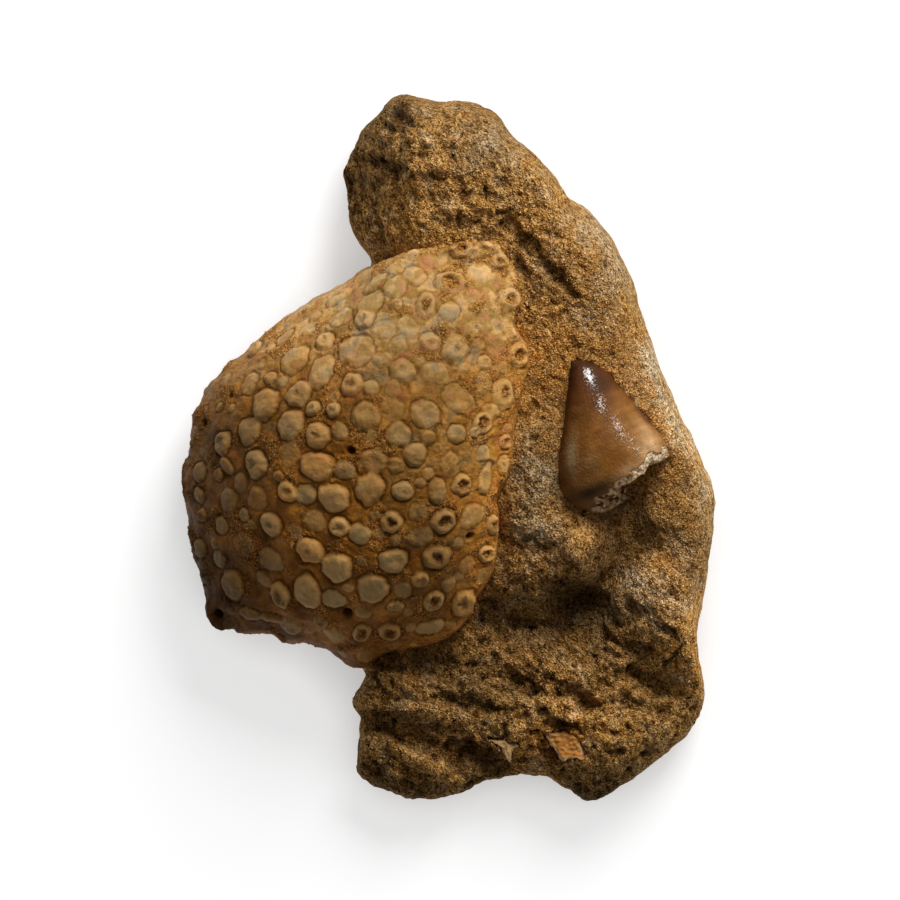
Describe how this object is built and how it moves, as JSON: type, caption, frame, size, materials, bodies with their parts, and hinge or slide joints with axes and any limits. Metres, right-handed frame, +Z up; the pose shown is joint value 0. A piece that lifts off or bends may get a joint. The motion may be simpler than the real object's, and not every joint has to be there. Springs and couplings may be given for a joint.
{
  "type": "fossil mosasaur tooth in matrix",
  "caption": "Stout glossy fossil tooth crown lying half bedded in a rough sandy matrix block, beside a domed plate of worn round studs and small chips of bone.",
  "frame": {"origin": "middle of the whole specimen's outline seen from above, on the flat base of the block", "axes": "+Z up out of the flat base, +Y along the specimen's length to the lobe past the tooth's tip, +X from the domed plate to the tooth"},
  "size_m": [0.1136, 0.1513, 0.0514],
  "materials": {
    "sandy_limestone_matrix": "rough, sandy",
    "worn_enamel_plate": "worn, satin on the studs",
    "polished_fossil_enamel": "glossy",
    "fossil_bone": "matte"
  },
  "bodies": {
    "root": {"matrix_block": "sandy_limestone_matrix", "button_plate": "worn_enamel_plate", "mosasaur_tooth": "polished_fossil_enamel", "bone_chip_pale": "fossil_bone", "bone_chip_orange": "fossil_bone"}
  },
  "joints": []
}
